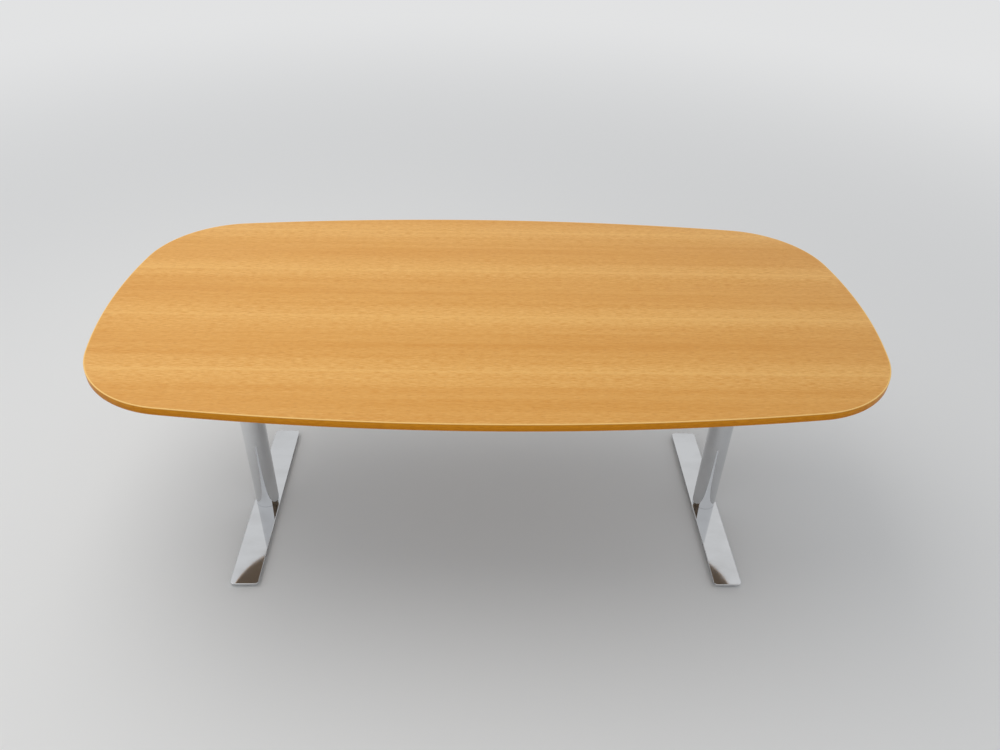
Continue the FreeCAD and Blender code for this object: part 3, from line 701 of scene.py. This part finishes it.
face_slice = make_slice(BOARD_TOP - VENEER, BOARD_TOP)
finish_piece("oak_face_veneer", face_slice, "oak_veneer", "table", ["top_veneer"])
back_slice = make_slice(BOARD_BOTTOM, BOARD_BOTTOM + VENEER)
finish_piece("oak_backing_veneer", back_slice, "backing_veneer", "table", ["backing_veneer"])

# %% [markdown]
# A mirror shows every facet, so the chromed columns get a rounder mesh: the section of the tube
# wall, with its broken edges, spun once round the leg's axis.

# %% Pieces: chromed columns
COLUMN_WALL = 0.002
COLUMN_BREAK = 0.001
COLUMN_STEPS = 160


def make_column(side):
    low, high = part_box(f"column_{side}")
    outer = (high[1] - low[1]) / 2
    inner = outer - COLUMN_WALL
    axis = Vector((SIDES[side] * LEG_X, 0, 0))
    section = [
        (inner, low[2]), (outer - COLUMN_BREAK, low[2]), (outer, low[2] + COLUMN_BREAK),
        (outer, high[2] - COLUMN_BREAK), (outer - COLUMN_BREAK, high[2]), (inner, high[2]),
    ]
    bm = bmesh.new()
    corners = [bm.verts.new(axis + Vector((radius, 0, height))) for radius, height in section]
    walls = [bm.edges.new(pair) for pair in zip(corners, corners[1:] + corners[:1])]
    bmesh.ops.spin(
        bm, geom=corners + walls, cent=axis, axis=(0, 0, 1),
        angle=math.tau, steps=COLUMN_STEPS, use_merge=True,
    )
    bmesh.ops.recalc_face_normals(bm, faces=bm.faces)
    return bm


for side in SIDES:
    finish_piece(f"chrome_column_{side}", make_column(side), "chrome", "table", [f"column_{side}"])

# %% [markdown]
# The stud of a levelling glide has a real thread, which shows when the glide is screwed out. A
# zigzag profile is spun once round while it climbs by one turn of the thread. Its end then meets
# its own start one turn higher, and welding the two gives an unbroken helix. The profile starts
# and ends with spare turns, and two cuts take them off and make the ends flat.

# %% Pieces: threaded glide studs
THREAD_PITCH = 0.00125
THREAD_DEPTH = 0.0007
THREAD_STEPS = 32
SPARE_BELOW = 1.5
SPARE_TURNS = 2
THREAD_SHARP = 40.0


def make_thread(x, y, low, high, radius):
    bm = bmesh.new()
    turns = math.ceil((high - low) / THREAD_PITCH) + SPARE_TURNS
    heights = [low + (half / 2 - SPARE_BELOW) * THREAD_PITCH for half in range(2 * turns + 1)]
    chain = [bm.verts.new((x + radius - THREAD_DEPTH * (i % 2), y, z)) for i, z in enumerate(heights)]
    links = [bm.edges.new(pair) for pair in zip(chain, chain[1:])]
    bmesh.ops.spin(
        bm, geom=chain + links, cent=(x, y, 0), axis=(0, 0, 1), dvec=(0, 0, THREAD_PITCH / THREAD_STEPS),
        angle=math.tau, steps=THREAD_STEPS,
    )
    bmesh.ops.remove_doubles(bm, verts=bm.verts, dist=WELD)
    for height, outward in ((low, (0, 0, -1)), (high, (0, 0, 1))):
        bmesh.ops.bisect_plane(
            bm, geom=bm.verts[:] + bm.edges[:] + bm.faces[:], plane_co=(x, y, height),
            plane_no=outward, clear_outer=True,
        )
    bmesh.ops.holes_fill(bm, edges=[edge for edge in bm.edges if edge.is_boundary], sides=0)
    bmesh.ops.recalc_face_normals(bm, faces=bm.faces)
    return bm


for side in SIDES:
    for end in ENDS:
        stud, glide = f"glide_stud_{end}_{side}", f"glide_{end}_{side}"
        low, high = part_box(stud)
        middle, radius = (low + high) / 2, (high[0] - low[0]) / 2
        thread = make_thread(middle[0], middle[1], low[2], high[2], radius)
        finish_piece(f"threaded_stud_{end}_{side}", thread, "fasteners", glide, [stud], THREAD_SHARP)

# %% [markdown]
# The screws that show underneath have hexagon sockets. One screw is made from rings: a hexagon
# sunk into the head, bridged to the round rim, and the rim drawn out ring by ring over the head
# and down the shank. It is then copied to each of its places.

# %% Socket screws
SCREW_STEPS = 24


def of_kind(geometry, kind):
    return [part for part in geometry if isinstance(part, kind)]


def make_ring(bm, segments, radius, height):
    raised = Matrix.Translation((0, 0, height))
    ring = bmesh.ops.create_circle(bm, segments=segments, radius=radius, matrix=raised)
    return list({edge for vert in ring["verts"] for edge in vert.link_edges})


def make_socket_screw(rings, socket_across, socket_depth):
    bm = bmesh.new()
    radius, height = rings[0]
    hexagon = make_ring(bm, 6, socket_across / math.sqrt(3), height)
    wall = bmesh.ops.extrude_edge_only(bm, edges=hexagon)["geom"]
    sunk = of_kind(wall, bmesh.types.BMVert)
    inward = socket_depth if rings[1][1] > height else -socket_depth
    bmesh.ops.translate(bm, verts=sunk, vec=(0, 0, inward))
    bmesh.ops.contextual_create(bm, geom=sunk)
    edges = make_ring(bm, SCREW_STEPS, radius, height)
    bmesh.ops.bridge_loops(bm, edges=hexagon + edges)
    for next_radius, next_height in rings[1:]:
        made = bmesh.ops.extrude_edge_only(bm, edges=edges)["geom"]
        verts, edges = of_kind(made, bmesh.types.BMVert), of_kind(made, bmesh.types.BMEdge)
        share = next_radius / radius
        bmesh.ops.scale(bm, verts=verts, vec=(share, share, 1))
        bmesh.ops.translate(bm, verts=verts, vec=(0, 0, next_height - height))
        radius, height = next_radius, next_height
    bmesh.ops.contextual_create(bm, geom=edges)
    bmesh.ops.recalc_face_normals(bm, faces=bm.faces)
    return bm


def copy_to(bm, places):
    original = bm.verts[:] + bm.edges[:] + bm.faces[:]
    for x, y in places[1:]:
        made = bmesh.ops.duplicate(bm, geom=original)["geom"]
        bmesh.ops.translate(bm, verts=of_kind(made, bmesh.types.BMVert), vec=(x, y, 0))
    bmesh.ops.translate(bm, verts=of_kind(original, bmesh.types.BMVert), vec=(*places[0], 0))
    return bm


# %% [markdown]
# Button heads pull the arms up to the board, two by two near the tips and the column. Their rings
# go from the flat round the socket over the crown to the shank. The crown is written in shares of
# the head's radius and height.

# %% Pieces: button screws
TOP_SCREW_ROWS = (0.290, 0.150)
TOP_SCREW_OFFSET = 0.022
BUTTON_HEAD, BUTTON_HEIGHT, BUTTON_SHANK = 6.0 * MILLIMETRE, 3.6 * MILLIMETRE, 3.0 * MILLIMETRE
BUTTON_SOCKET = {"socket_across": 4.0 * MILLIMETRE, "socket_depth": 2.2 * MILLIMETRE}
CROWN_SHARES = [(0.58, 0), (0.80, 1 / 6), (0.94, 4 / 9), (1, 7 / 9), (1, 1)]
top_low, top_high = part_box("top_screws")
top_places = [
    (side * LEG_X + across * TOP_SCREW_OFFSET, along * row)
    for side in SIDES.values()
    for row in TOP_SCREW_ROWS
    for along in ENDS.values()
    for across in SIDES.values()
]
crown = [(radius * BUTTON_HEAD, top_low[2] + rise * BUTTON_HEIGHT) for radius, rise in CROWN_SHARES]
shank = [(BUTTON_SHANK, top_low[2] + BUTTON_HEIGHT), (BUTTON_SHANK, top_high[2])]
top_screw = copy_to(make_socket_screw(crown + shank, **BUTTON_SOCKET), top_places)
finish_piece("button_screws", top_screw, "fasteners", "table", ["top_screws"])

# %% [markdown]
# Countersunk screws close the foot plates from below, four on a circle under each column. Their
# cone falls at half a right angle, so it is as deep as the head stands out from the shank.

# %% Pieces: countersunk screws
PLUG_CIRCLE = 0.019
PLUG_ANGLES = [math.pi / 4 + quarter * math.pi / 2 for quarter in range(4)]
CONE_HEAD, CONE_SHANK, CONE_RIM = 7.75 * MILLIMETRE, 4.0 * MILLIMETRE, 0.3 * MILLIMETRE
CONE_SOCKET = {"socket_across": 5.0 * MILLIMETRE, "socket_depth": 3.0 * MILLIMETRE}
foot_low, foot_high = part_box("foot_screws")
foot_places = [
    (side * LEG_X + PLUG_CIRCLE * math.cos(angle), PLUG_CIRCLE * math.sin(angle))
    for side in SIDES.values()
    for angle in PLUG_ANGLES
]
countersunk = [
    (CONE_HEAD - CONE_RIM, foot_low[2]),
    (CONE_HEAD, foot_low[2] + CONE_RIM),
    (CONE_SHANK, foot_low[2] + CONE_HEAD - CONE_SHANK),
    (CONE_SHANK, foot_high[2]),
]
foot_screw = copy_to(make_socket_screw(countersunk, **CONE_SOCKET), foot_places)
finish_piece("countersunk_screws", foot_screw, "fasteners", "table", ["foot_screws"])

# %% [markdown]
# The stage is a plain pale floor that fades into the pale world some way off, as a roll of paper
# behind a product does. The fade is only seen, by the eye and in reflections: light bounces off a
# plain matt floor, so the shadow under the table stays. It lies a hair below the glides, since
# two faces in one plane would fight over which is seen. From below the floor is clear, and the
# underside can be looked at.

# %% Stage
FLOOR_REACH = 60.0
FLOOR_GAP = 0.2 * MILLIMETRE
FLOOR_COLOUR = (0.84, 0.84, 0.84, 1)
FADE_START, FADE_END = 1.5, 6.5
BACKDROP = (0.76, 0.765, 0.77, 1)


def seen_directly(tree):
    rays = place(tree, "ShaderNodeLightPath").outputs
    seen = calculate(tree, "MAXIMUM", rays["Is Camera Ray"], rays["Is Glossy Ray"])
    return calculate(tree, "MAXIMUM", seen, rays["Is Transmission Ray"])


def make_floor_finish():
    material, tree, shader, where = new_finish("floor_pale", Base_Color=FLOOR_COLOUR, Roughness=0.85)
    away = place(tree, "ShaderNodeVectorMath", {0: where["Object"]}, operation="LENGTH").outputs["Value"]
    faded = rescale(tree, away, FADE_START, FADE_END)
    faded.node.interpolation_type = "SMOOTHSTEP"
    faded = calculate(tree, "MULTIPLY", faded, seen_directly(tree))
    paper = place(tree, "ShaderNodeEmission", {"Color": BACKDROP}).outputs[0]
    upper = place(tree, "ShaderNodeMixShader", {0: faded, 1: shader.outputs[0], 2: paper}).outputs[0]
    clear = place(tree, "ShaderNodeBsdfTransparent").outputs[0]
    below = place(tree, "ShaderNodeNewGeometry").outputs["Backfacing"]
    both = place(tree, "ShaderNodeMixShader", {0: below, 1: upper, 2: clear}).outputs[0]
    tree.links.new(both, tree.nodes["Material Output"].inputs["Surface"])
    return material


def make_floor():
    bm = bmesh.new()
    lowered = Matrix.Translation((0, 0, -FLOOR_GAP))
    bmesh.ops.create_grid(bm, x_segments=1, y_segments=1, size=FLOOR_REACH, matrix=lowered)
    mesh = bpy.data.meshes.new("floor")
    bm.to_mesh(mesh)
    bm.free()
    mesh.materials.append(make_floor_finish())
    floor = bpy.data.objects.new("floor", mesh)
    bpy.context.collection.objects.link(floor)
    print("floor fades from", FADE_START, "to", FADE_END, "m")


make_floor()

# %% [markdown]
# The world gives an even light from all round. Looked at directly or in a reflection it shows the
# same backdrop as the far floor. A wide lamp above adds a soft shadow. The two together light the
# board so that colours come out about as they are written.

# %% Light
WORLD_TINT, WORLD_STRENGTH = (0.96, 0.98, 1.0, 1), 0.62
LAMP_PLACE, LAMP_AIM = Vector((-1.1, 0.1, 3.3)), Vector((-0.2, 0, 0.7))
LAMP_WIDTH, LAMP_DEPTH = 3.0, 2.4
LAMP_POWER, LAMP_TINT = 38.0, (1.0, 0.97, 0.92)


def make_world():
    world = bpy.data.worlds.new("studio")
    world.use_nodes = True
    bpy.context.scene.world = world
    tree = world.node_tree
    lit = tree.nodes["Background"]
    lit.inputs["Color"].default_value = WORLD_TINT
    lit.inputs["Strength"].default_value = WORLD_STRENGTH
    shown = place(tree, "ShaderNodeBackground", {"Color": BACKDROP})
    sockets = {0: seen_directly(tree), 1: lit.outputs[0], 2: shown.outputs[0]}
    both = place(tree, "ShaderNodeMixShader", sockets).outputs[0]
    tree.links.new(both, tree.nodes["World Output"].inputs["Surface"])


def make_lamp():
    lamp = bpy.data.lights.new("ceiling_lamp", "AREA")
    lamp.shape = "RECTANGLE"
    lamp.size, lamp.size_y = LAMP_WIDTH, LAMP_DEPTH
    lamp.energy = LAMP_POWER
    lamp.color = LAMP_TINT
    holder = bpy.data.objects.new("ceiling_lamp", lamp)
    holder.location = LAMP_PLACE
    holder.rotation_euler = (LAMP_AIM - LAMP_PLACE).to_track_quat("-Z", "Y").to_euler()
    bpy.context.collection.objects.link(holder)
    print("lamp", lamp.name, LAMP_POWER, "W")


make_world()
make_lamp()

# %% [markdown]
# The camera stands in front of the table and looks down on it, slightly turned and tilted as a
# hand-held camera is. Its place and focal length come from fitting the outline of the top and
# the foot plates to the picture.

# %% Camera
CAMERA_PLACE = (-0.0418, -1.8726, 1.9044)
LOOK_DOWN, TURN, TILT = math.radians(36.5837), math.radians(-2.1250), math.radians(1.8142)
FOCAL_SHARE = 0.82324
camera = bpy.data.cameras.new("camera")
camera.sensor_fit = "HORIZONTAL"
camera.lens = FOCAL_SHARE * camera.sensor_width
holder = bpy.data.objects.new("camera", camera)
turned = Matrix.Rotation(TURN, 4, "Z") @ Matrix.Rotation(math.pi / 2 - LOOK_DOWN, 4, "X")
aim = turned @ Matrix.Rotation(TILT, 4, "Z")
holder.matrix_world = Matrix.Translation(CAMERA_PLACE) @ aim
bpy.context.collection.objects.link(holder)
bpy.context.scene.camera = holder
bpy.context.scene.view_settings.view_transform = "Standard"
print("camera", round(camera.lens, 2), "mm")
